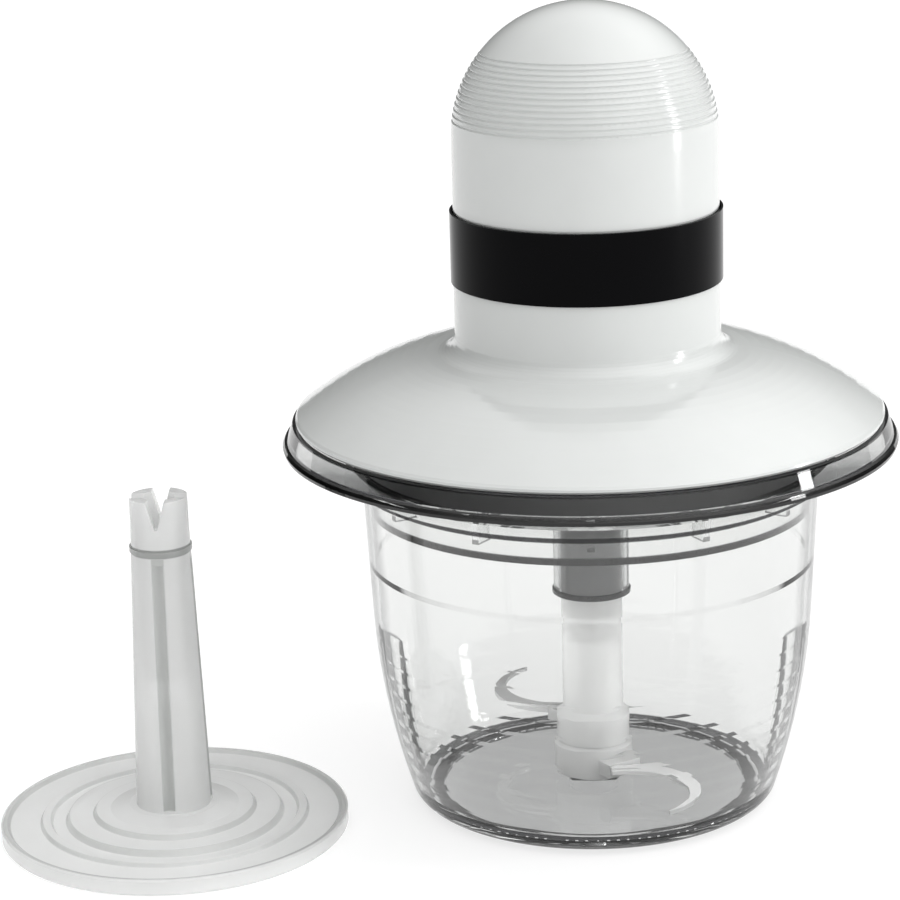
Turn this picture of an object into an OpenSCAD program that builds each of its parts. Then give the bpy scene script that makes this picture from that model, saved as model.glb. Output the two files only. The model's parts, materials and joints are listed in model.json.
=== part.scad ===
// Top-drive food processor (mini chopper): clear bowl and lid, lift-off drive unit with a
// press-to-run dome, two-blade knife, planetary reduction and a separate beating disc.
// Millimetres, +Z up, front towards -Y, origin at the centre of the bowl's foot.

/* [Bowl] */
// outer radius of the bowl wall at the reference height
bowl_r_ref = 59.3; // [50:0.1:70]
// reference height for the bowl radius
bowl_z_ref = 8.0; // [4:0.5:12]
// growth of the outer radius per millimetre of height, near the foot
bowl_taper = 0.3068; // [0:0.001:0.4]
// how fast that growth falls off with height
bowl_curve = 0.002376; // [0:0.0001:0.004]
// height above which the wall is nearly upright
bowl_upright = 62; // [50:1:80]
// height of the bowl rim
bowl_top = 109.0; // [80:0.5:130]
// outer radius of the bead round the bowl's rim
bead_r = 73.6; // [71:0.1:76]
// wall below the inside step
bowl_wall = 2.2; // [1.4:0.1:3]
// wall above the inside step
bowl_wall_top = 1.8; // [1.2:0.1:3]
// height of the inside step, the full mark
bowl_step_z = 79.2; // [60:0.2:95]
// height of the inside floor
bowl_floor = 4.0; // [3:0.1:6]
// radius of the knife's pin
pin_r = 3.0; // [2:0.1:4]
// top of the knife's pin
pin_top = 42.0; // [20:1:60]

/* [Lid] */
// underside of the lid's plate
lid_z = 109.2; // [100:0.1:120]
// thickness of the lid's plate
lid_t = 2.0; // [1.5:0.1:3]
// outer radius of the plug that goes down into the bowl
plug_r = 68.2; // [60:0.1:70]
// bottom of the plug
plug_z = 96.2; // [90:0.1:104]
// outer radius of the central sleeve
sleeve_r = 11.9; // [11:0.1:14]
// bottom of the central sleeve
sleeve_z = 66.2; // [50:0.1:90]
// bore radius of the central sleeve
sleeve_bore = 10.3; // [9.8:0.1:12]
// radius where the lid's flange starts to rise
flange_r = 74.0; // [72:0.1:80]

/* [Drive unit] */
// outer radius of the neck
neck_r = 41.0; // [36:0.1:46]
// height of the neck above which the band sits
band_z0 = 166.9; // [155:0.1:175]
// top of the band
band_z1 = 188.7; // [180:0.1:195]
// outer radius of the band
band_r = 41.7; // [40:0.1:46]
// height of the skirt beside the neck
skirt_z = 144.6; // [135:0.1:150]
// slope of the skirt beside the neck
skirt_a = 0.0829; // [0:0.001:0.3]
// growth of the skirt's slope
skirt_b = 0.00738; // [0:0.0001:0.02]
// bottom edge of the skirt
skirt_edge_z = 124.3; // [120:0.1:128]
// outermost radius of the skirt
skirt_r = 91.0; // [85:0.1:95]
// outer radius of the dark base cover
cover_r = 73.5; // [70:0.1:75]

/* [Dome switch] */
// outer radius of the dome
dome_r = 40.6; // [38:0.1:42]
// inner radius of the dome
dome_in = 38.4; // [36:0.1:40]
// height of the dome sphere's centre
dome_z = 210.9; // [200:0.1:220]
// lower edge of the dome
dome_edge = 188.3; // [185:0.1:195]
// number of fine grooves round the dome
groove_n = 13; // [0:1:20]
// latitude of the lowest groove in degrees
groove_lo = 8.2; // [2:0.1:20]
// latitude of the highest groove in degrees
groove_hi = 39.1; // [20:0.1:60]

/* [Gears] */
// gear module
mod_g = 1.0; // [0.8:0.1:1.2]
// teeth of the sun pinion
n_sun = 12; // [12:3:18]
// teeth of one planet
n_planet = 15; // [15:3:21]
// teeth of the ring gear
n_ring = 42; // [42:3:60]
// pressure angle
alpha = 25; // [20:1:28]

/* [Knife] */
// bottom of the knife's hub
knife_z = 7.3; // [6:0.1:10]
// top of the knife's crown
knife_top = 112.0; // [100:0.5:116]
// radius of the hub's tube
hub_r = 9.6; // [8:0.1:10]
// height of the lower blade
blade_lo = 11.0; // [9:0.1:14]
// height of the upper blade
blade_hi = 21.0; // [16:0.1:30]
// sheet thickness of the blades
blade_t = 1.2; // [0.8:0.1:2]

/* [Beating disc] */
// position of the disc beside the bowl, left
disc_x = -131.2; // [-160:0.1:-120]
// position of the disc beside the bowl, front
disc_y = -30.5; // [-60:0.1:0]
// outer radius of the disc
disc_r = 54.1; // [50:0.1:58]
// total height of the disc's tube
disc_top = 108.0; // [100:0.5:112]
// radius of the disc's tube at its foot
disc_tube_r = 12.0; // [11:0.1:12.5]

/* [Hidden] */
$fn = 96;
// motor stack heights
brk_z = 134.8;
frame_top = 190.0;
core_z0 = 152.0;
core_z1 = 176.0;
coil_z0 = 149.0;
coil_z1 = 179.0;
shaft_r = 3.0;
run_gap = 0.06;
gear_z0 = 127.8;
gear_z1 = 133.8;
planet_c = mod_g * (n_sun + n_planet) / 2;
planet_pin_r = 2.0;
boss_ring = 62.0;
cord_z = 158.0;
switch_x = 20.0;
blade_c = [11.6, -32.2];

// node to draw, or "all"

// ---------- helpers ----------

function inv_deg(phi) = tan(phi) * 180 / PI - phi;

function arc_pts(cx, cz, r, a0, a1, n) =
  [for (i = [0:n]) [cx + r * cos(a0 + (a1 - a0) * i / n), cz + r * sin(a0 + (a1 - a0) * i / n)]];

function bowl_r(z) =
  let (d = min(z, bowl_upright) - bowl_z_ref)
  bowl_r_ref + bowl_taper * d - bowl_curve * d * d + 0.05 * max(0, z - bowl_upright);

function skirt_top(r) = skirt_z - skirt_a * (r - 46) - skirt_b * (r - 46) * (r - 46);

// half the angular width of an involute tooth at radius r, in degrees
function tooth_half(n, r, slack) =
  let (rp = mod_g * n / 2, rb = rp * cos(alpha), rr = max(r, rb))
  90 / n + inv_deg(alpha) - inv_deg(acos(rb / rr)) - slack / rp * 180 / PI;

// one gear outline: root, base, pitch and tip radii give each flank three straight facets
function gear_pts(n, r_root, r_tip, slack) =
  let (rp = mod_g * n / 2, rb = max(rp * cos(alpha), r_root + 0.05), rm = (rp + r_tip) / 2)
  [for (k = [0:n - 1])
    let (c = 360 * k / n)
    for (q = [[r_root, -1], [rb, -1], [rp, -1], [rm, -1], [r_tip, -1],
              [r_tip, 1], [rm, 1], [rp, 1], [rb, 1], [r_root, 1]])
      let (a = c + q[1] * tooth_half(n, q[0], slack))
      [q[0] * cos(a), q[0] * sin(a)]];

module ring(r_in, r_out, z0, z1) {
  translate([0, 0, z0])
    difference() {
      cylinder(h = z1 - z0, r = r_out);
      translate([0, 0, -1])
        cylinder(h = z1 - z0 + 2, r = r_in);
    }
}

module bar(x0, x1, y0, y1, z0, z1) {
  translate([x0, y0, z0])
    cube([x1 - x0, y1 - y0, z1 - z0]);
}

// wedge along X and Y that narrows downwards; w_top and w_bot are half widths
module wedge_cross(len, z0, z1, w_bot, w_top) {
  for (a = [0, 90])
    rotate([0, 0, a])
      translate([0, len, 0])
        rotate([90, 0, 0])
          linear_extrude(height = 2 * len)
            polygon([[-w_bot, z0], [w_bot, z0], [w_top, z1], [-w_top, z1]]);
}

// ---------- bowl ----------

function bowl_profile() = concat(
  [[0, 0.8], [48, 0.8], [48, 1.8], [52, 1.8], [52, 0.8]],
  arc_pts(53.0, 6.3, 5.5, -90, -17.9, 8),
  [for (i = [0:10]) let (z = 10 + 5.2 * i) [bowl_r(z), z]],
  [[bowl_r(104.6), 104.6], [bead_r, 105.0], [bead_r, 108.4], [bead_r - 0.6, bowl_top]],
  [[bowl_r(bowl_top) - bowl_wall_top, bowl_top]],
  [[bowl_r(bowl_step_z) - bowl_wall_top, bowl_step_z + 0.9]],
  [[bowl_r(bowl_step_z) - bowl_wall, bowl_step_z - 0.9]],
  [for (i = [10:-1:0]) let (z = 12 + 5 * i) [bowl_r(z) - bowl_wall, z]],
  arc_pts(51.44, bowl_floor + 6, 6, -17.1, -90, 8),
  [[0, bowl_floor]]
);

function rib_profile() =
  let (w = bowl_wall)
  concat(
    [[52, 3.2], [54, 3.0], [56.5, 5.0]],
    [for (i = [0:5]) let (z = 8 + 10.6 * i) [bowl_r(z) - w + 0.6, z]],
    [[bowl_r(61) - w - 0.3, 61], [bowl_r(57) - w - 4.5, 57], [bowl_r(9) - w - 2.0, 9], [51.5, 4.6]]
  );

module bowl() {
  color([0.86, 0.9, 0.92, 0.35])
    difference() {
      union() {
        rotate_extrude()
          polygon(bowl_profile());
        for (a = [198, 342])
          rotate([0, 0, a])
            intersection() {
              rotate_extrude()
                polygon(rib_profile());
              bar(30, 90, -1.5, 1.5, 2.5, 62);
            }
        translate([0, 0, 3])
          cylinder(h = 4, r = 8);
      }
      translate([0, 0, 2])
        cylinder(h = 6, r = pin_r);
    }
}

module bowl_foot_ring() {
  color([0.55, 0.57, 0.58])
    ring(48, 52, 0, 1.8);
}

module bowl_pin() {
  color([0.78, 0.79, 0.8])
    union() {
      translate([0, 0, 2])
        cylinder(h = pin_top - 3, r = pin_r);
      translate([0, 0, pin_top - 1])
        cylinder(h = 1, r1 = pin_r, r2 = pin_r - 0.8);
    }
}

// ---------- lid ----------

function lid_profile() = [
  [sleeve_bore, sleeve_z], [sleeve_r + 0.5, sleeve_z], [sleeve_r + 0.5, sleeve_z + 1.2],
  [sleeve_r, sleeve_z + 1.8], [sleeve_r, lid_z],
  [plug_r - 1.8, lid_z], [plug_r - 1.8, plug_z], [plug_r, plug_z], [plug_r, lid_z],
  [flange_r, lid_z],
  [93.4, 116.0], [95.0, 116.2], [95.2, 117.2], [94.6, 118.2], [93.8, 118.6],
  [92.0, 124.0], [90.4, 124.0], [91.9, 118.4], [91.6, 117.4],
  [flange_r + 2, lid_z + lid_t], [sleeve_bore, lid_z + lid_t]
];

module lid() {
  color([0.86, 0.9, 0.92, 0.35])
    union() {
      rotate_extrude()
        polygon(lid_profile());
      // gussets between the plate and the plug
      for (k = [0:11])
        rotate([0, 0, 30 * k])
          bar(60, plug_r - 1.4, -1.1, 1.1, 100, lid_z + 1);
    }
}

// ---------- knife ----------

module blade_plan() {
  difference() {
    translate(blade_c)
      circle(r = 21.0);
    translate(blade_c + [-0.7, -3.2])
      circle(r = 18.2);
    // cut off beyond the tip and behind the root
    translate(blade_c)
      polygon([[0, 0], [30 * cos(-59), 30 * sin(-59)], [0, -40], [-40, -40], [-40, 40],
               [30 * cos(112), 30 * sin(112)]]);
  }
}

module blade_shape(z) {
  translate([0, 0, z])
    linear_extrude(height = blade_t)
      difference() {
        union() {
          blade_plan();
          rotate([0, 0, -54])
            translate([-9, -4.5])
              square([24, 9]);
          circle(r = 8.2);
        }
        circle(r = 4.6);
      }
}

module knife_hub() {
  color([0.93, 0.94, 0.93])
    difference() {
      union() {
        translate([0, 0, knife_z])
          cylinder(h = 9, r = 12.4);
        translate([0, 0, knife_z + 9])
          cylinder(h = 2.5, r1 = 12.4, r2 = hub_r);
        translate([0, 0, 16])
          cylinder(h = 84, r = hub_r);
        translate([0, 0, 99.9])
          cylinder(h = knife_top - 99.9, r = 9.3);
        translate([0, 0, 17.5])
          cylinder(h = 8.5, r = 11.6);
        translate([0, 0, 26])
          cylinder(h = 2, r1 = 11.6, r2 = hub_r);
        // inclined wings under the blades
        for (s = [[0, blade_lo], [180, blade_hi]])
          rotate([0, 0, s[0] - 54])
            bar(0, 16.5, -6, 6, s[1] - 1.6, s[1] + blade_t + 1.6);
      }
      translate([0, 0, knife_z - 1])
        cylinder(h = 38, r = pin_r + run_gap);
      translate([0, 0, 50])
        cylinder(h = 70, r = 5.2);
      wedge_cross(20, 103.5, knife_top + 1, 0.5, 3.0);
      blade_shape(blade_lo);
      rotate([0, 0, 180])
        blade_shape(blade_hi);
    }
}

module knife_blade_lower() {
  color([0.75, 0.76, 0.77])
    blade_shape(blade_lo);
}

module knife_blade_upper() {
  color([0.75, 0.76, 0.77])
    rotate([0, 0, 180])
      blade_shape(blade_hi);
}

// ---------- drive unit shell ----------

function shell_profile() = concat(
  [[89.2, skirt_edge_z], [90.4, skirt_edge_z], [skirt_r, 125.0], [skirt_r - 0.1, 125.7]],
  [for (i = [0:12]) let (r = 90.3 - (90.3 - 46.5) * i / 12) [r, skirt_top(r)]],
  arc_pts(47, 150.54, 6, 262, 180, 8),
  [[neck_r, band_z0], [40.2, band_z0], [40.2, 184.2], [38.1, 184.2], [38.1, 197.6]],
  [[37.7, 198], [36.4, 198], [36.4, 181], [38.8, 179], [38.8, 153]],
  [[35.5, 153], [35.5, 150.2], [38.8, 150.2]],
  arc_pts(47, 150.54, 8.2, 184, 262, 8),
  [for (i = [1:12]) let (r = 46.5 + (88.4 - 46.5) * i / 12) [r, skirt_top(r) - 2.2]]
);

module drive_housing() {
  color([0.93, 0.94, 0.93])
    difference() {
      union() {
        rotate_extrude()
          polygon(shell_profile());
        for (a = [30, 150, 270])
          rotate([0, 0, a])
            translate([boss_ring, 0, 113.5])
              cylinder(h = 25.6, r = 4);
      }
      for (a = [30, 150, 270])
        rotate([0, 0, a])
          translate([boss_ring, 0, 113])
            cylinder(h = 14, r = 1.5);
      translate([0, 30, cord_z])
        rotate([-90, 0, 0])
          cylinder(h = 20, r = 6);
    }
}

module drive_band() {
  color([0.02, 0.02, 0.025])
    union() {
      ring(40.2, band_r, band_z0, 184.2);
      ring(41.0, band_r, 184.0, band_z1);
    }
}

module base_cover() {
  color([0.12, 0.12, 0.13])
    difference() {
      union() {
        ring(14, cover_r, 111.5, 113.5);
        ring(cover_r - 1.8, cover_r, 111.5, 127);
        ring(12.2, 14.2, 111.5, 121);
        ring(8, 14.2, 119, 121);
        // stiffening rings on top of the plate
        ring(44, 45.5, 113.5, 118);
      }
      for (a = [30, 150, 270])
        rotate([0, 0, a])
          translate([boss_ring, 0, 111]) {
            cylinder(h = 3, r = 1.5);
            cylinder(h = 1.6, r = 3.1);
          }
    }
}

module base_screws() {
  color([0.6, 0.61, 0.62])
    for (a = [30, 150, 270])
      rotate([0, 0, a])
        translate([boss_ring, 0, 0])
          difference() {
            union() {
              translate([0, 0, 111.7])
                cylinder(h = 0.9, r = 2.9);
              translate([0, 0, 112.5])
                cylinder(h = 12, r = 1.5);
            }
            bar(-2, 2, -0.35, 0.35, 111.5, 112.1);
            bar(-0.35, 0.35, -2, 2, 111.5, 112.1);
          }
}

module cord_bush() {
  color([0.08, 0.08, 0.085])
    translate([0, 0, cord_z])
      rotate([-90, 0, 0])
        difference() {
          union() {
            translate([0, 0, 36])
              cylinder(h = 14, r = 6);
            translate([0, 0, 41.05])
              cylinder(h = 2, r = 8);
            for (k = [0:1])
              translate([0, 0, 45 + 2.6 * k])
                cylinder(h = 1.2, r = 6.6);
          }
          translate([0, 0, 35])
            cylinder(h = 16, r = 3.2);
        }
}

// ---------- gearbox ----------

module output_bush() {
  color([0.72, 0.55, 0.3])
    ring(5 + run_gap, 8, 115, 123.5);
}

module gearbox_housing() {
  color([0.3, 0.31, 0.32])
    difference() {
      union() {
        ring(8, 27.5, 121, 123.5);
        ring(25, 27.5, 121, brk_z);
        ring(27, 33, brk_z - 2.5, brk_z);
      }
      for (a = [45:90:315])
        rotate([0, 0, a])
          translate([30, 0, 130])
            cylinder(h = 6, r = 1.2);
    }
}

module ring_gear() {
  color([0.85, 0.85, 0.83])
    translate([0, 0, gear_z0 - 0.2])
      linear_extrude(height = gear_z1 - gear_z0 + 0.6)
        difference() {
          circle(r = 25);
          polygon(gear_pts(n_ring, 19.9, 22.3, -0.06));
        }
}

module gearbox_screws() {
  color([0.6, 0.61, 0.62])
    for (a = [45:90:315])
      rotate([0, 0, a])
        translate([30, 0, brk_z - 3.8])
          union() {
            cylinder(h = 1.3, r = 2.2);
            translate([0, 0, 1])
              cylinder(h = 4.3, r = 1.2);
          }
}

module sun_pinion() {
  color([0.7, 0.7, 0.68])
    translate([0, 0, gear_z0])
      linear_extrude(height = gear_z1 - gear_z0 + 0.2)
        difference() {
          polygon(gear_pts(n_sun, 4.75, 6.95, 0.05));
          circle(r = shaft_r);
        }
}

// planet k sits at angle 120 k and is turned so that its teeth mesh with sun and ring
module planet(k) {
  pos = 120 * k;
  turn = pos + 180 - 360 / n_planet * (0.5 - pos * n_sun / 360);
  color([0.85, 0.85, 0.83])
    rotate([0, 0, pos])
      translate([planet_c, 0, gear_z0])
        rotate([0, 0, turn - pos])
          linear_extrude(height = gear_z1 - gear_z0)
            difference() {
              polygon(gear_pts(n_planet, 6.25, 8.42, 0.05));
              circle(r = planet_pin_r + run_gap);
            }
}

module planet_gear_a() {
  planet(0);
}

module planet_gear_b() {
  planet(1);
}

module planet_gear_c() {
  planet(2);
}

module planet_carrier() {
  color([0.62, 0.62, 0.64])
    difference() {
      union() {
        translate([0, 0, 124])
          cylinder(h = 3, r = 19.5);
        translate([0, 0, 114.5])
          cylinder(h = 10, r = 5);
      }
      for (a = [0, 120, 240])
        rotate([0, 0, a])
          translate([planet_c, 0, 123])
            cylinder(h = 5, r = planet_pin_r);
      translate([0, 0, 114])
        cylinder(h = 3, r = 2.4);
    }
}

module planet_pins() {
  color([0.78, 0.79, 0.8])
    for (a = [0, 120, 240])
      rotate([0, 0, a])
        translate([planet_c, 0, 124.2])
          cylinder(h = 9.6, r = planet_pin_r);
}

module output_dog() {
  color([0.2, 0.2, 0.21])
    union() {
      translate([0, 0, 112.4])
        cylinder(h = 2.1, r = 8.6);
      translate([0, 0, 114])
        cylinder(h = 3, r = 2.4);
      translate([0, 0, 103])
        cylinder(h = 10, r = 4.2);
      intersection() {
        wedge_cross(12, 104.4, 113, 0.35, 2.75);
        translate([0, 0, 104.4])
          cylinder(h = 9, r = 8.6);
      }
    }
}

// ---------- motor ----------

module motor_frame() {
  color([0.3, 0.31, 0.32])
    difference() {
      union() {
        ring(shaft_r + 0.8, 33, brk_z, 137);
        ring(8, 11, 137, 142.6);
        ring(31, 33, 136.5, frame_top);
        ring(32.5, 38.4, 147.2, 150.2);
      }
      for (a = [45:90:315])
        rotate([0, 0, a])
          translate([30, 0, brk_z - 1])
            cylinder(h = 2.5, r = 1.2);
      // cooling windows by the fan and above the coils
      for (a = [0:60:300])
        rotate([0, 0, a]) {
          bar(28, 36, -8, 8, 138.5, 146);
          bar(28, 36, -8, 8, 180, 187);
        }
    }
}

module motor_top_plate() {
  color([0.3, 0.31, 0.32])
    union() {
      ring(shaft_r + 0.8, 33, frame_top, 192.5);
      ring(8, 10.5, 192, 198.3);
    }
}

module lower_bearing() {
  color([0.7, 0.71, 0.72])
    ring(shaft_r + run_gap, 8, 137.2, 142.2);
}

module upper_bearing() {
  color([0.7, 0.71, 0.72])
    ring(shaft_r + run_gap, 8, 192.9, 197.9);
}

module stator_core() {
  color([0.45, 0.46, 0.47])
    translate([0, 0, core_z0])
      linear_extrude(height = core_z1 - core_z0)
        difference() {
          circle(r = 31);
          circle(r = 17.3);
          // coil slots either side of the two poles
          difference() {
            circle(r = 27.8);
            circle(r = 19.6);
            square([20.6, 60], center = true);
          }
          // gaps between the pole shoes
          for (s = [-1, 1])
            scale([s, 1])
              polygon([[0, 0], [24, -12], [24, 12]]);
        }
}

module field_coils() {
  color([0.72, 0.4, 0.2])
    for (s = [0, 180])
      rotate([0, 0, s])
        difference() {
          bar(-14.5, 14.5, 18.9, 23.2, coil_z0, coil_z1);
          bar(-10.3, 10.3, 18, 24, core_z0 - 0.01, core_z1 + 0.01);
        }
}

module motor_shaft() {
  color([0.78, 0.79, 0.8])
    translate([0, 0, 127.6])
      cylinder(h = 70.2, r = shaft_r);
}

module armature_core() {
  color([0.45, 0.46, 0.47])
    translate([0, 0, core_z0])
      linear_extrude(height = core_z1 - core_z0)
        difference() {
          circle(r = 16.7);
          circle(r = shaft_r);
          for (a = [0:36:324])
            rotate([0, 0, a]) {
              translate([12.6, 0])
                circle(r = 2.3);
              translate([12, -0.8])
                square([6, 1.6]);
            }
        }
}

module armature_windings() {
  color([0.72, 0.4, 0.2])
    union() {
      ring(4.5, 15.4, core_z1, 180);
      ring(4.5, 15.4, 148.6, core_z0);
      for (a = [0:36:324])
        rotate([0, 0, a])
          translate([12.6, 0, core_z0 - 1])
            cylinder(h = core_z1 - core_z0 + 2, r = 2.1);
    }
}

module commutator() {
  color([0.72, 0.45, 0.25])
    difference() {
      ring(shaft_r, 8.8, 182, 189);
      for (a = [18:36:342])
        rotate([0, 0, a])
          bar(8.1, 10, -0.25, 0.25, 181, 190);
    }
}

module cooling_fan() {
  color([0.15, 0.15, 0.16])
    union() {
      ring(shaft_r, 7, 143.2, 147.6);
      ring(6, 24, 143.2, 144.2);
      for (a = [0:30:330])
        rotate([0, 0, a])
          bar(6.5, 23, -0.6, 0.6, 144, 147.6);
    }
}

module brush_holders() {
  color([0.75, 0.6, 0.32])
    for (s = [0, 180])
      rotate([0, 0, s])
        difference() {
          bar(10.6, 24, -4.4, 4.4, 181.5, frame_top);
          bar(9, 22.5, -2.6, 2.6, 183, 188);
        }
}

module carbon_brushes() {
  color([0.1, 0.1, 0.1])
    for (s = [0, 180])
      rotate([0, 0, s])
        bar(9.1, 19, -2.6, 2.6, 183, 188);
}

// ---------- switch and dome ----------

module switch_body() {
  color([0.1, 0.1, 0.11])
    difference() {
      union() {
        bar(13.5, 27, -5, 5, 192.5, 203);
        bar(15, 25.5, -2.4, -1.6, 203, 203.6);
      }
      translate([switch_x, 0, 196])
        cylinder(h = 9, r = 2.1);
    }
}

module switch_plunger() {
  color([0.75, 0.12, 0.1])
    translate([switch_x, 0, 199.8])
      cylinder(h = 8.2, r = 1.8);
}

module return_spring() {
  turns = 5;
  wire = 1.2;
  tall = 221 - 198.3;
  pitch = (tall - wire) / turns;
  wide = 360 * wire / pitch;
  color([0.75, 0.76, 0.77])
    translate([0, 0, 198.3])
      linear_extrude(height = tall, twist = -360 * tall / pitch, slices = 96, $fn = 4)
        polygon(concat(
          [for (i = [0:5]) [8.6 * cos(wide * i / 5), 8.6 * sin(wide * i / 5)]],
          [for (i = [5:-1:0]) [9.8 * cos(wide * i / 5), 9.8 * sin(wide * i / 5)]]
        ));
}

module dome_cap() {
  color([0.93, 0.94, 0.93])
    difference() {
      union() {
        ring(dome_in, dome_r, dome_edge + 1, dome_z);
        rotate_extrude()
          polygon([[dome_in, dome_edge], [40.0, dome_edge], [40.45, dome_edge + 0.35],
                   [dome_r, dome_edge + 1], [dome_in, dome_edge + 1]]);
        difference() {
          translate([0, 0, dome_z])
            sphere(r = dome_r);
          translate([0, 0, dome_z])
            sphere(r = dome_in);
          translate([0, 0, dome_z - 60])
            cylinder(h = 60, r = 60);
        }
        // spring post with its flange, and the rib that presses the switch
        translate([0, 0, 214])
          cylinder(h = 36, r = 5);
        translate([0, 0, 221])
          cylinder(h = 2, r = 10.5);
        translate([switch_x, 0, 208.3])
          cylinder(h = 35.7, r = 3);
      }
      for (i = [0:groove_n - 1]) {
        th = groove_lo + (groove_hi - groove_lo) * i / (groove_n - 1);
        translate([0, 0, dome_z])
          rotate_extrude()
            translate([(dome_r + 0.15) * cos(th), (dome_r + 0.15) * sin(th)])
              circle(r = 0.55);
      }
    }
}

// ---------- beating disc ----------

module beating_disc() {
  lean = atan((disc_tube_r - 8.9) / 96);
  color([0.9, 0.92, 0.91])
    translate([disc_x, disc_y, 0])
      difference() {
        union() {
          rotate_extrude()
            polygon([
              [0, 3.2], [33, 3.2], [34, 2.2], [51.4, 2.2], [51.8, 0.4], [52.4, 0],
              [53.4, 0], [disc_r, 0.8], [disc_r, 4.6], [53.4, 5.2], [52.2, 5.0], [51.2, 4.0],
              [42.0, 4.0], [41.2, 5.2], [38.8, 5.2], [38.0, 4.0],
              [34, 4.0], [33, 5.8], [25.5, 5.8], [24.5, 7.2], [20, 7.2],
              [14, 8.6], [0, 8.6]
            ]);
          translate([0, 0, 4])
            cylinder(h = 96, r1 = disc_tube_r, r2 = 8.9);
          translate([0, 0, 91])
            cylinder(h = 1.6, r = 9.6);
          translate([0, 0, 99.9])
            cylinder(h = disc_top - 99.9, r = 8.9);
        }
        translate([0, 0, -1])
          cylinder(h = 42, r = pin_r + run_gap);
        translate([0, 0, 50])
          cylinder(h = 70, r = 5.2);
        translate([0, 0, disc_top - knife_top])
          wedge_cross(20, 103.5, knife_top + 1, 0.5, 3.0);
        // flutes up the tube
        for (a = [0:90:270])
          rotate([0, 0, a - 90])
            translate([disc_tube_r + 1.0, 0, 9.5])
              rotate([0, -lean, 0])
                cylinder(h = 79, r = 2.2);
      }
}

// ---------- draw ----------

bowl();
bowl_foot_ring();
bowl_pin();
lid();
knife_hub();
knife_blade_lower();
knife_blade_upper();
drive_housing();
drive_band();
base_cover();
base_screws();
output_bush();
gearbox_housing();
ring_gear();
gearbox_screws();
motor_frame();
motor_top_plate();
stator_core();
field_coils();
lower_bearing();
upper_bearing();
brush_holders();
carbon_brushes();
switch_body();
switch_plunger();
cord_bush();
return_spring();
dome_cap();
motor_shaft();
armature_core();
armature_windings();
commutator();
cooling_fan();
sun_pinion();
planet_carrier();
planet_pins();
output_dog();
planet_gear_a();
planet_gear_b();
planet_gear_c();
beating_disc();
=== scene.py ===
import bpy
import json
import math
from mathutils import Matrix, Vector

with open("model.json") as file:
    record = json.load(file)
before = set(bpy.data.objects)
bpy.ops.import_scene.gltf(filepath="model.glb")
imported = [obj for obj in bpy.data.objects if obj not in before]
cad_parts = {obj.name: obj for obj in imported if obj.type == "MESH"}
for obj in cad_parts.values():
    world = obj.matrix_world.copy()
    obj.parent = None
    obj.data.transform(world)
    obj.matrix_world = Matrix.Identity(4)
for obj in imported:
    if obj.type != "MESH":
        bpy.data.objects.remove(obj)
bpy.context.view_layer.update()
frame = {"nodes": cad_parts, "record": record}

scene = bpy.context.scene
nodes = frame["nodes"]

# ---------------------------------------------------------------- camera
CAM_BACK, CAM_UP = 0.90749, 0.36961          # metres in front of and above the bowl's foot
CAM_YAW, CAM_PITCH, CAM_ROLL = -2.74, 15.81, -1.59
LENS_PX, PICTURE_PX, SENSOR_MM = 3027.75, 900.0, 36.0
yaw, pitch, roll = (math.radians(a) for a in (CAM_YAW, CAM_PITCH, CAM_ROLL))
fwd = Vector((math.sin(yaw) * math.cos(pitch), math.cos(yaw) * math.cos(pitch), -math.sin(pitch)))
right = Vector((math.cos(yaw), -math.sin(yaw), 0.0))
up = right.cross(fwd)
r2 = right * math.cos(roll) + up * math.sin(roll)
u2 = up * math.cos(roll) - right * math.sin(roll)
cam_data = bpy.data.cameras.new("camera")
cam = bpy.data.objects.new("camera", cam_data)
scene.collection.objects.link(cam)
rot = Matrix((r2, u2, -fwd)).transposed()
cam.matrix_world = Matrix.Translation((0.0, -CAM_BACK, CAM_UP)) @ rot.to_4x4()
cam_data.sensor_width = SENSOR_MM
cam_data.lens = LENS_PX / PICTURE_PX * SENSOR_MM
cam_data.clip_start, cam_data.clip_end = 0.02, 60.0
scene.camera = cam

scene.view_settings.view_transform = "Standard"
scene.view_settings.look = "None"
scene.view_settings.exposure = 0.0


# ---------------------------------------------------------------- node helpers
def new_mat(name):
    m = bpy.data.materials.new(name)
    m.use_nodes = True
    nt = m.node_tree
    p = nt.nodes["Principled BSDF"]
    return m, nt, p


def coords(nt, scale=(1, 1, 1)):
    tc = nt.nodes.new("ShaderNodeTexCoord")
    mp = nt.nodes.new("ShaderNodeMapping")
    mp.inputs["Scale"].default_value = scale
    nt.links.new(tc.outputs["Object"], mp.inputs["Vector"])
    return mp.outputs["Vector"]


def noise(nt, vec, scale, detail=4.0, rough=0.5):
    n = nt.nodes.new("ShaderNodeTexNoise")
    n.inputs["Scale"].default_value = scale
    n.inputs["Detail"].default_value = detail
    n.inputs["Roughness"].default_value = rough
    nt.links.new(vec, n.inputs["Vector"])
    return n.outputs["Fac"]


def ramp(nt, fac, stops):
    r = nt.nodes.new("ShaderNodeValToRGB")
    e = r.color_ramp.elements
    while len(e) > 1:
        e.remove(e[0])
    e[0].position, e[0].color = stops[0][0], (*stops[0][1], 1)
    for pos, col in stops[1:]:
        x = e.new(pos)
        x.color = (*col, 1)
    nt.links.new(fac, r.inputs["Fac"])
    return r.outputs["Color"]


def span(nt, fac, lo, hi):
    m = nt.nodes.new("ShaderNodeMapRange")
    m.inputs["From Min"].default_value = 0.3
    m.inputs["From Max"].default_value = 0.7
    m.inputs["To Min"].default_value = lo
    m.inputs["To Max"].default_value = hi
    nt.links.new(fac, m.inputs["Value"])
    return m.outputs["Result"]


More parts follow.
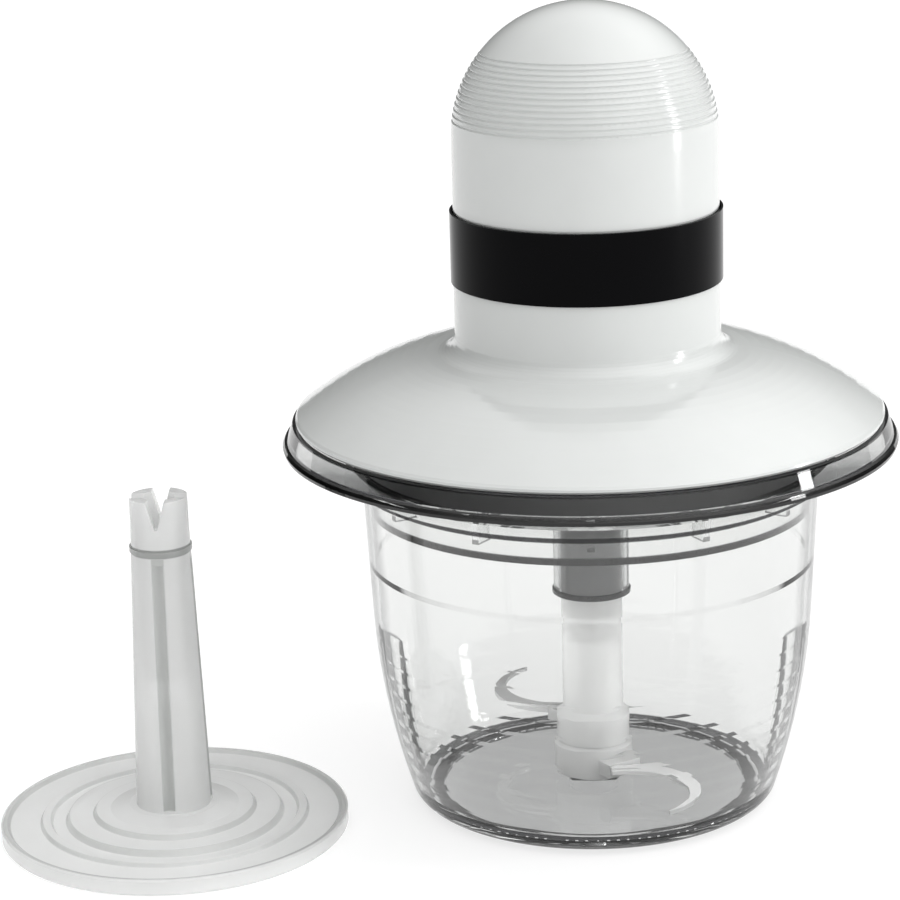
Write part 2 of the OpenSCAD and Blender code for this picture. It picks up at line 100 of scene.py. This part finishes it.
def bump(nt, p, height, strength, distance=0.0002):
    b = nt.nodes.new("ShaderNodeBump")
    b.inputs["Strength"].default_value = strength
    b.inputs["Distance"].default_value = distance
    nt.links.new(height, b.inputs["Height"])
    nt.links.new(b.outputs["Normal"], p.inputs["Normal"])


def mix(nt, blend, fac, a, b):
    m = nt.nodes.new("ShaderNodeMix")
    m.data_type = "RGBA"
    m.blend_type = blend
    if isinstance(fac, (int, float)):
        m.inputs["Factor"].default_value = fac
    else:
        nt.links.new(fac, m.inputs["Factor"])
    for key, v in (("A", a), ("B", b)):
        if isinstance(v, tuple):
            m.inputs[key].default_value = (*v, 1)
        else:
            nt.links.new(v, m.inputs[key])
    return m.outputs["Result"]


def shade(c, k):
    return tuple(min(1.0, x * k) for x in c)


def plastic(name, col, rough, vary=0.03, coat=0.0, grain=0.0, scale=60.0, ior=1.5):
    m, nt, p = new_mat(name)
    v = coords(nt)
    n = noise(nt, v, scale)
    nt.links.new(ramp(nt, n, [(0.3, shade(col, 1 - vary)), (0.7, shade(col, 1 + vary))]),
                 p.inputs["Base Color"])
    nt.links.new(span(nt, noise(nt, v, scale * 0.4), rough * 0.85, rough * 1.2), p.inputs["Roughness"])
    p.inputs["IOR"].default_value = ior
    if coat:
        p.inputs["Coat Weight"].default_value = coat
        p.inputs["Coat Roughness"].default_value = 0.05
    if grain:
        bump(nt, p, noise(nt, v, 900.0, 2.0), grain)
    return m


def metal(name, col, rough, streak=(1, 1, 40), vary=0.06, scale=120.0):
    m, nt, p = new_mat(name)
    v = coords(nt, streak)
    n = noise(nt, v, scale, 3.0)
    nt.links.new(ramp(nt, n, [(0.3, shade(col, 1 - vary)), (0.7, shade(col, 1 + vary))]),
                 p.inputs["Base Color"])
    nt.links.new(span(nt, n, rough * 0.8, rough * 1.25), p.inputs["Roughness"])
    p.inputs["Metallic"].default_value = 1.0
    bump(nt, p, n, 0.08, 0.0001)
    return m


def math_node(nt, op, a, b=None):
    n = nt.nodes.new("ShaderNodeMath")
    n.operation = op
    for i, v in enumerate((a, b)):
        if v is None:
            continue
        if isinstance(v, (int, float)):
            n.inputs[i].default_value = v
        else:
            nt.links.new(v, n.inputs[i])
    return n.outputs["Value"]


def rise(nt, value, at, soft=0.0002):
    """0 below a position and 1 above it."""
    m = nt.nodes.new("ShaderNodeMapRange")
    m.interpolation_type = "SMOOTHSTEP"
    m.inputs["From Min"].default_value = at - soft
    m.inputs["From Max"].default_value = at + soft
    nt.links.new(value, m.inputs["Value"])
    return m.outputs["Result"]


def inside(nt, value, lo, hi):
    """1 between two positions."""
    return math_node(nt, "SUBTRACT", rise(nt, value, lo), rise(nt, value, hi))


def distance(nt, x, y):
    """Distance from an axis, from the two horizontal coordinates."""
    square = math_node(nt, "ADD", math_node(nt, "MULTIPLY", x, x), math_node(nt, "MULTIPLY", y, y))
    return math_node(nt, "SQRT", square)


def radius_height(nt):
    """Distance from the main axis, height, and the two horizontal coordinates, in the row frame."""
    tc = nt.nodes.new("ShaderNodeTexCoord")
    sp = nt.nodes.new("ShaderNodeSeparateXYZ")
    nt.links.new(tc.outputs["Object"], sp.inputs["Vector"])
    x, y, z = sp.outputs["X"], sp.outputs["Y"], sp.outputs["Z"]
    return distance(nt, x, y), z, x, y


def ring_zones(zones):
    """Mask of ring zones where shade is painted: each zone is (r_lo, r_hi, z_lo, z_hi) in metres."""
    def make(nt):
        r, z, _, _ = radius_height(nt)
        total = None
        for r0, r1, z0, z1 in zones:
            m = math_node(nt, "MULTIPLY", inside(nt, r, r0, r1), inside(nt, z, z0, z1))
            total = m if total is None else math_node(nt, "MAXIMUM", total, m)
        return total
    return make


def clear(name, zones=None, grey=None):
    """Clear plastic with painted shade: the colour darkens at grazing angles, the zones are painted
    near-black, and the grey zones get a painted grey shade.
    """
    tint, edge, rough = CLEAR_TINT, CLEAR_GRAZING_SHADE, CLEAR_ROUGH
    m, nt, p = new_mat(name)
    v = coords(nt)
    lw = nt.nodes.new("ShaderNodeLayerWeight")
    lw.inputs["Blend"].default_value = 0.25
    # painted shade: the base colour darkens towards the second colour at grazing angles
    face = ramp(nt, lw.outputs["Facing"], [
        (0.0, tint), (0.46, shade(tint, 0.97)), (0.58, edge), (1.0, shade(edge, 0.2))])
    spots = ramp(nt, noise(nt, v, 18.0), [(0.3, (0.985, 0.985, 0.985)), (0.7, (1, 1, 1))])
    col = mix(nt, "MULTIPLY", 1.0, face, spots)
    if grey:
        # painted shade: grey tint in the grey zones
        col = mix(nt, "MULTIPLY", ring_zones(grey)(nt), col, PAINTED_SHADE_TINT)
    if zones:
        # painted shade: near-black lines in the zones
        col = mix(nt, "MIX", zones(nt), col, PAINTED_EDGE_SHADE)
    nt.links.new(col, p.inputs["Base Color"])
    nt.links.new(span(nt, noise(nt, v, 30.0), rough * 0.6, rough * 1.4), p.inputs["Roughness"])
    p.inputs["Transmission Weight"].default_value = 1.0
    p.inputs["IOR"].default_value = CLEAR_IOR
    return m


def milky(name, col, trans=0.3, rough=0.18):
    """Milky plastic: some light passes straight, most scatters inside."""
    m, nt, p = new_mat(name)
    v = coords(nt)
    n = noise(nt, v, 35.0)
    nt.links.new(ramp(nt, n, [(0.3, shade(col, 0.97)), (0.7, shade(col, 1.02))]), p.inputs["Base Color"])
    nt.links.new(span(nt, noise(nt, v, 80.0), rough * 0.85, rough * 1.2), p.inputs["Roughness"])
    p.inputs["Transmission Weight"].default_value = trans
    p.inputs["Subsurface Weight"].default_value = 0.7
    p.inputs["Subsurface Radius"].default_value = (1.0, 1.0, 1.0)
    p.inputs["Subsurface Scale"].default_value = 0.012
    p.inputs["IOR"].default_value = 1.45
    return m


# ---------------------------------------------------------------- materials of the slots
# the second colour is the painted shade that the clear plastic takes at grazing angles
CLEAR_TINT, CLEAR_GRAZING_SHADE = (0.90, 0.905, 0.90), (0.2, 0.205, 0.205)
CLEAR_IOR, CLEAR_ROUGH = 1.5, 0.012
# grey tint painted as shade on the sleeve and the bowl's floor
PAINTED_SHADE_TINT = (0.72, 0.72, 0.725)
# near-black colour of the painted dark lines of shade
PAINTED_EDGE_SHADE = (0.004, 0.004, 0.0045)
MILKY_WHITE = (0.95, 0.96, 0.95)

MATS = {
    "clear_plastic": clear("clear_plastic"),
    "milky_plastic": milky("milky_plastic", MILKY_WHITE),
    "white_plastic": plastic("white_plastic", (0.64, 0.655, 0.645), 0.14, 0.012, 0.25),
    "black_gloss": plastic("black_gloss", (0.0012, 0.0012, 0.0016), 0.12, 0.2, 0.0, 0.0, 30.0),
    "dark_plastic": plastic("dark_plastic", (0.012, 0.012, 0.013), 0.42, 0.12, 0.0, 0.2),
    "grey_plastic": plastic("grey_plastic", (0.09, 0.094, 0.098), 0.5, 0.1, 0.0, 0.2),
    "gear_plastic": plastic("gear_plastic", (0.68, 0.67, 0.63), 0.34, 0.03, 0.0, 0.05),
    "rubber_grey": plastic("rubber_grey", (0.2, 0.205, 0.21), 0.6, 0.08, 0.0, 0.2),
    "rubber_black": plastic("rubber_black", (0.012, 0.012, 0.013), 0.58, 0.15, 0.0, 0.3),
    "red_plastic": plastic("red_plastic", (0.5, 0.02, 0.015), 0.35, 0.06),
    "carbon": plastic("carbon", (0.02, 0.02, 0.021), 0.55, 0.2, 0.0, 0.3),
    "steel": metal("steel", (0.58, 0.585, 0.59), 0.22, (1, 1, 1), 0.05, 220.0),
    "bright_steel": metal("bright_steel", (0.62, 0.62, 0.625), 0.18, (1, 1, 30)),
    "screw_steel": metal("screw_steel", (0.5, 0.5, 0.48), 0.3, (1, 1, 1)),
    "lamination": metal("lamination", (0.3, 0.3, 0.31), 0.45, (1, 1, 60), 0.12),
    "copper": metal("copper", (0.6, 0.26, 0.12), 0.32, (4, 4, 40), 0.12),
    "brass": metal("brass", (0.62, 0.44, 0.17), 0.3, (1, 1, 1)),
    "bronze": metal("bronze", (0.5, 0.34, 0.16), 0.42, (1, 1, 1)),
}

# ---------------------------------------------------------------- materials of single pieces
PLUG_BOTTOM = 0.0962
# painted near-black lines of shade at the lid's edges
LID_PAINTED_SHADE = ring_zones([
    (0.0660, 0.0700, PLUG_BOTTOM - 0.0005, PLUG_BOTTOM + 0.0019),
    (0.0924, 0.0943, 0.1150, 0.1166),      # lower edge of the lip
    (0.0948, 0.0960, 0.1155, 0.1190),      # outermost lip
    (0.0900, 0.0930, 0.1235, 0.1245),      # top of the rim
    (0.0100, 0.0130, 0.0655, 0.0675),      # bottom of the sleeve
])
RIB_ANGLES = (198.0, 342.0)


def bowl_painted_shade(nt):
    """Mask of painted dark lines of shade on the bowl: foot corner, lower edge of the bead, and outlines
    of the two ribs.
    """
    r, z, x, y = radius_height(nt)
    total = math_node(nt, "MULTIPLY", inside(nt, r, 0.0535, 0.0700), inside(nt, z, 0.0, 0.0028))
    bead = math_node(nt, "MULTIPLY", inside(nt, r, 0.0704, 0.0765), inside(nt, z, 0.1036, 0.1060))
    total = math_node(nt, "MAXIMUM", total, bead)
    curve = math_node(nt, "MULTIPLY", math_node(nt, "MULTIPLY", z, z), -2.376)
    wall = math_node(nt, "ADD", math_node(nt, "MULTIPLY", z, 0.3448), math_node(nt, "ADD", curve, 0.0543))
    depth = math_node(nt, "MINIMUM",
                      math_node(nt, "ADD", math_node(nt, "MULTIPLY", z, 0.052), 0.00153),
                      math_node(nt, "MULTIPLY", math_node(nt, "SUBTRACT", 0.061, z), 1.125))
    from_wall = math_node(nt, "SUBTRACT", wall, r)
    from_edge = math_node(nt, "SUBTRACT", depth, from_wall)
    outer = inside(nt, from_wall, -0.0001, 0.0012)
    inner = inside(nt, from_edge, -0.0004, 0.0008)
    outline = math_node(nt, "MAXIMUM", outer, inner)
    line = math_node(nt, "MULTIPLY", outline, inside(nt, z, 0.0045, 0.0620))
    # painted dark lines of shade along the outlines of the two ribs
    for deg in RIB_ANGLES:
        ca, sa = math.cos(math.radians(deg)), math.sin(math.radians(deg))
        across = math_node(nt, "ABSOLUTE", math_node(
            nt, "SUBTRACT", math_node(nt, "MULTIPLY", y, ca), math_node(nt, "MULTIPLY", x, sa)))
        along = math_node(nt, "ADD", math_node(nt, "MULTIPLY", x, ca), math_node(nt, "MULTIPLY", y, sa))
        near = math_node(nt, "MULTIPLY", inside(nt, across, 0.0009, 0.0020), rise(nt, along, 0.045))
        total = math_node(nt, "MAXIMUM", total, math_node(nt, "MULTIPLY", line, near))
    return total


DISC_AT = (-0.1312, -0.0305)
# painted shade rings of the disc, mixed towards dark grey
DISC_PAINTED_SHADE = (          # radius from, to, height from, to, strength
    (0.0512, 0.0535, 0.0025, 0.0060, 0.45),
    (0.0380, 0.0388, 0.0035, 0.0060, 0.25),
    (0.0412, 0.0420, 0.0035, 0.0060, 0.3),
    (0.0328, 0.0342, 0.0035, 0.0060, 0.35),
    (0.0244, 0.0256, 0.0055, 0.0074, 0.3),
    (0.0080, 0.0100, 0.0905, 0.0932, 0.85),
)


def disc_material():
    """Milky plastic with painted shade at its edges: rim, steps of the plate, flutes and collar of the
    tube.
    """
    m = milky("milky_disc", (0.93, 0.94, 0.93))
    nt = m.node_tree
    p = nt.nodes["Principled BSDF"]
    tc = nt.nodes.new("ShaderNodeTexCoord")
    sp = nt.nodes.new("ShaderNodeSeparateXYZ")
    nt.links.new(tc.outputs["Object"], sp.inputs["Vector"])
    x = math_node(nt, "ADD", sp.outputs["X"], -DISC_AT[0])
    y = math_node(nt, "ADD", sp.outputs["Y"], -DISC_AT[1])
    z = sp.outputs["Z"]
    r = distance(nt, x, y)
    total = None
    for r0, r1, z0, z1, k in DISC_PAINTED_SHADE:
        one = math_node(nt, "MULTIPLY", inside(nt, r, r0, r1), inside(nt, z, z0, z1))
        one = math_node(nt, "MULTIPLY", one, k)
        total = one if total is None else math_node(nt, "MAXIMUM", total, one)
    # painted shade stripes along the flutes of the tube
    below_collar = math_node(nt, "SUBTRACT", 1.0, rise(nt, z, 0.0905))
    tube = math_node(nt, "MULTIPLY", rise(nt, z, 0.0095), below_collar)
    slim = math_node(nt, "MINIMUM", math_node(nt, "ABSOLUTE", x), math_node(nt, "ABSOLUTE", y))
    flute = math_node(nt, "MULTIPLY", math_node(nt, "SUBTRACT", 1.0, rise(nt, slim, 0.0019, 0.0003)), tube)
    flute = math_node(nt, "MULTIPLY", flute, math_node(nt, "SUBTRACT", 1.0, rise(nt, r, 0.0130)))
    total = math_node(nt, "MAXIMUM", total, math_node(nt, "MULTIPLY", flute, 0.5))
    base = p.inputs["Base Color"].links[0].from_socket
    # the painted shade mixes the base colour towards dark grey
    nt.links.new(mix(nt, "MIX", total, base, (0.30, 0.31, 0.30)), p.inputs["Base Color"])
    return m


BLADE = metal("blade_steel", (0.80, 0.80, 0.80), 0.4, (1, 1, 30), 0.04)
BLADE.node_tree.nodes["Principled BSDF"].inputs["Metallic"].default_value = 0.35
# the sleeve and the bowl's floor get a painted grey shade
SLEEVE = (0.0095, 0.0125, 0.0655, 0.1000)
BOWL_FLOOR = (-0.001, 0.0530, -0.001, 0.0070)
NODE_MATS = {
    "knife_hub": milky("milky_hub", MILKY_WHITE),
    "lid": clear("clear_lid", LID_PAINTED_SHADE, grey=[SLEEVE]),
    "bowl": clear("clear_bowl", bowl_painted_shade, grey=[BOWL_FLOOR]),
    "knife_blade_lower": BLADE,
    "knife_blade_upper": BLADE,
    "beating_disc": disc_material(),
}
MATS["black_gloss"].node_tree.nodes["Principled BSDF"].inputs["Specular IOR Level"].default_value = 0.05
SLOT = {s["node"]: s["material_slot"] for s in frame["record"]["subparts"]}
for name, obj in nodes.items():
    m = NODE_MATS.get(name) or MATS[SLOT[name]]
    obj.data.materials.clear()
    obj.data.materials.append(m)


# ---------------------------------------------------------------- floor, world and lights
FLOOR_GLOW, FLOOR_WHITE = 0.74, 0.34
# sky strength by the sine of the elevation: all round, and behind the camera
SKY = [(-0.02, 0.10), (0.14, 0.10), (0.3, 0.12), (0.55, 0.8), (0.75, 1.5), (1.0, 1.75)]
SKY_FRONT = [(-0.02, 0.10), (0.10, 0.10), (0.3, 0.9), (0.55, 1.6), (0.75, 1.8), (1.0, 1.75)]


def floor_mat():
    m, nt, p = new_mat("floor_mat")
    n = noise(nt, coords(nt), 2.0)
    w = (FLOOR_WHITE,) * 3
    nt.links.new(ramp(nt, n, [(0.3, shade(w, 0.99)), (0.7, w)]), p.inputs["Base Color"])
    p.inputs["Roughness"].default_value = 1.0
    p.inputs["Specular IOR Level"].default_value = 0.0
    p.inputs["Emission Color"].default_value = (1, 1, 1, 1)
    p.inputs["Emission Strength"].default_value = FLOOR_GLOW
    return m


bpy.ops.mesh.primitive_circle_add(vertices=128, radius=14.0, fill_type="NGON", location=(0, 0, -0.0003))
floor = bpy.context.object
floor.name = "floor"
floor.data.materials.append(floor_mat())

world = bpy.data.worlds.new("studio")
scene.world = world
world.use_nodes = True
wt = world.node_tree
sky = wt.nodes["Background"]
tc = wt.nodes.new("ShaderNodeTexCoord")
sep = wt.nodes.new("ShaderNodeSeparateXYZ")
wt.links.new(tc.outputs["Generated"], sep.inputs["Vector"])
lift = math_node(wt, "MULTIPLY_ADD", sep.outputs["Z"], 0.5)
lift.node.inputs[2].default_value = 0.5
levels = ramp(wt, lift, [(0.5 + 0.5 * e, (k, k, k)) for e, k in SKY])
ahead = ramp(wt, lift, [(0.5 + 0.5 * e, (k, k, k)) for e, k in SKY_FRONT])
toward = math_node(wt, "SUBTRACT", 1.0, rise(wt, sep.outputs["Y"], -0.35, 0.25))
levels = mix(wt, "MIX", toward, levels, ahead)
side = wt.nodes.new("ShaderNodeMapRange")           # the soft light is stronger from the right
for key, v in (("From Min", -1.0), ("From Max", 1.0), ("To Min", 0.25), ("To Max", 1.5)):
    side.inputs[key].default_value = v
wt.links.new(sep.outputs["X"], side.inputs["Value"])
wt.links.new(mix(wt, "MULTIPLY", 1.0, levels, side.outputs["Result"]), sky.inputs["Color"])
sky.inputs["Strength"].default_value = 1.0
backdrop = wt.nodes.new("ShaderNodeBackground")
backdrop.inputs["Color"].default_value = (1, 1, 1, 1)
backdrop.inputs["Strength"].default_value = 1.2
path = wt.nodes.new("ShaderNodeLightPath")
both = wt.nodes.new("ShaderNodeMixShader")
wt.links.new(path.outputs["Is Camera Ray"], both.inputs[0])
wt.links.new(sky.outputs[0], both.inputs[1])
wt.links.new(backdrop.outputs[0], both.inputs[2])
wt.links.new(both.outputs[0], wt.nodes["World Output"].inputs["Surface"])


def area(name, loc, target, size, power, size_y):
    d = bpy.data.lights.new(name, "AREA")
    d.energy = power
    d.shape = "RECTANGLE"
    d.size, d.size_y = size, size_y
    o = bpy.data.objects.new(name, d)
    scene.collection.objects.link(o)
    o.location = loc
    o.rotation_mode = "QUATERNION"
    o.rotation_quaternion = (Vector(target) - Vector(loc)).to_track_quat("-Z", "Y")
    return o


area("key", (1.25, -0.14, 0.30), (0, 0, 0.13), 0.13, 7.0, 1.3)
for name, at, target, power in (
    ("bowl_fill_right", (0.040, -0.040, 0.050), (0.022, -0.014, 0.010), 0.026),
    ("bowl_fill_left", (-0.050, -0.015, 0.055), (-0.028, 0.012, 0.020), 0.026),
):
    fill = area(name, at, target, 0.05, power, 0.02)
    fill.visible_camera = fill.visible_glossy = fill.visible_transmission = False
